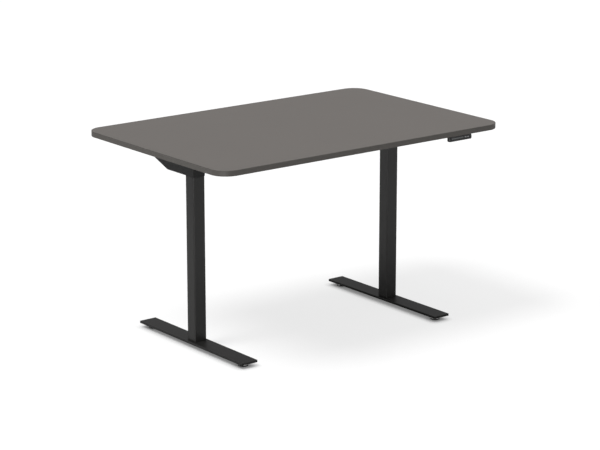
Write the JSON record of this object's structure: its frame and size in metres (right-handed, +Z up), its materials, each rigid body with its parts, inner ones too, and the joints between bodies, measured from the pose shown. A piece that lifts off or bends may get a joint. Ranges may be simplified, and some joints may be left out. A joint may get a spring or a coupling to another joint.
{
  "type": "height adjustable desk",
  "caption": "Rectangular grey desk top with rounded corners on two black telescopic T-legs, with a slim handset under its front edge.",
  "frame": {"origin": "on the floor, under the centre of the top", "axes": "+Z up, +X along the desk to the user's right, the user sits at -Y"},
  "size_m": [1.2, 0.8, 0.71],
  "materials": {
    "grey_laminate": "matte decorative laminate on particle board, warm dark grey",
    "grey_edge": "edge band in the same grey, satin",
    "black_powder": "black powder coat, semi-gloss with a fine texture",
    "black_nylon": "moulded black nylon",
    "white_nylon": "natural white nylon",
    "bright_steel": "ground bright steel, lightly oiled",
    "zinc_steel": "zinc plated steel, satin",
    "cast_alloy": "die cast alloy, matte",
    "nut_brass": "turned brass",
    "motor_paint": "dark grey painted steel can",
    "black_plastic": "moulded black plastic, fine spark texture",
    "handset_plastic": "moulded black plastic, satin gloss",
    "display_glass": "smoked glossy window",
    "button_grey": "moulded grey plastic",
    "sole_rubber": "dark rubber sole",
    "cable_jacket": "black cable jacket"
  },
  "bodies": {
    "base": {"foot_left": "black_powder", "foot_right": "black_powder", "foot_screws": "zinc_steel", "tube_plug_left": "cast_alloy", "tube_plug_right": "cast_alloy", "outer_tube_left": "black_powder", "outer_tube_right": "black_powder", "upper_guide_left": "black_nylon", "upper_guide_right": "black_nylon", "push_tube_left": "bright_steel", "push_tube_right": "bright_steel", "spindle_nut_left": "nut_brass", "spindle_nut_right": "nut_brass"},
    "top": {"tabletop": "grey_laminate", "edge_band": "grey_edge", "arm_left": "black_powder", "arm_right": "black_powder", "top_screws": "zinc_steel", "beam_front": "black_powder", "beam_rear": "black_powder", "frame_screws": "zinc_steel", "inner_tube_left": "black_powder", "inner_tube_right": "black_powder", "lower_guide_left": "white_nylon", "lower_guide_right": "white_nylon", "gear_case_left": "cast_alloy", "gear_case_right": "cast_alloy", "spindle_bearing_left": "bright_steel", "spindle_bearing_right": "bright_steel", "motor_can_left": "motor_paint", "motor_can_right": "motor_paint", "motor_cover_left": "black_plastic", "motor_cover_right": "black_plastic", "control_box": "black_plastic", "control_lid": "black_plastic", "mains_inlet": "black_plastic", "control_screws": "zinc_steel", "handset_case": "handset_plastic", "display_window": "display_glass", "handset_screws": "zinc_steel", "motor_cable_left": "cable_jacket", "motor_cable_right": "cable_jacket", "handset_cable": "cable_jacket", "cable_clips": "white_nylon"},
    "spindle_left": {"spindle_left": "bright_steel", "crown_wheel_left": "white_nylon"},
    "drive_left": {"drive_shaft_left": "bright_steel"},
    "spindle_right": {"spindle_right": "bright_steel", "crown_wheel_right": "white_nylon"},
    "drive_right": {"drive_shaft_right": "bright_steel"},
    "glide_front_left": {"glide_stud_front_left": "zinc_steel", "glide_sole_front_left": "sole_rubber"},
    "glide_front_right": {"glide_stud_front_right": "zinc_steel", "glide_sole_front_right": "sole_rubber"},
    "glide_back_left": {"glide_stud_back_left": "zinc_steel", "glide_sole_back_left": "sole_rubber"},
    "glide_back_right": {"glide_stud_back_right": "zinc_steel", "glide_sole_back_right": "sole_rubber"},
    "key_up": {"button_up": "button_grey"},
    "key_down": {"button_down": "button_grey"}
  },
  "joints": [
    {"name": "lift", "type": "slide", "parent": "base", "child": "top", "axis": [0, 0, 1], "range_m": [0, 0.47]},
    {"name": "spindle_left_turn", "type": "hinge", "parent": "top", "child": "spindle_left", "pos_m": [-0.4225, 0, 0.6], "axis": [0, 0, 1], "range_deg": [0, 14101]},
    {"name": "drive_left_turn", "type": "hinge", "parent": "top", "child": "drive_left", "pos_m": [-0.4225, 0.05, 0.667], "axis": [0, 1, 0], "range_deg": [0, 42303]},
    {"name": "spindle_right_turn", "type": "hinge", "parent": "top", "child": "spindle_right", "pos_m": [0.4225, 0, 0.6], "axis": [0, 0, 1], "range_deg": [0, 14101]},
    {"name": "drive_right_turn", "type": "hinge", "parent": "top", "child": "drive_right", "pos_m": [0.4225, 0.05, 0.667], "axis": [0, 1, 0], "range_deg": [0, 42303]},
    {"name": "glide_front_left_screw", "type": "slide", "parent": "base", "child": "glide_front_left", "axis": [0, 0, -1], "range_m": [0, 0.005]},
    {"name": "glide_front_right_screw", "type": "slide", "parent": "base", "child": "glide_front_right", "axis": [0, 0, -1], "range_m": [0, 0.005]},
    {"name": "glide_back_left_screw", "type": "slide", "parent": "base", "child": "glide_back_left", "axis": [0, 0, -1], "range_m": [0, 0.005]},
    {"name": "glide_back_right_screw", "type": "slide", "parent": "base", "child": "glide_back_right", "axis": [0, 0, -1], "range_m": [0, 0.005]},
    {"name": "button_up_press", "type": "slide", "parent": "top", "child": "key_up", "axis": [0, 1, 0], "range_m": [0, 0.001], "stiffness_N_per_m": 1200},
    {"name": "button_down_press", "type": "slide", "parent": "top", "child": "key_down", "axis": [0, 1, 0], "range_m": [0, 0.001], "stiffness_N_per_m": 1200}
  ],
  "couplings": [
    {"joint": "spindle_left_turn", "follows": "lift", "rad_per_m": 523.6},
    {"joint": "drive_left_turn", "follows": "lift", "rad_per_m": 1570.8},
    {"joint": "spindle_right_turn", "follows": "lift", "rad_per_m": 523.6},
    {"joint": "drive_right_turn", "follows": "lift", "rad_per_m": 1570.8}
  ]
}
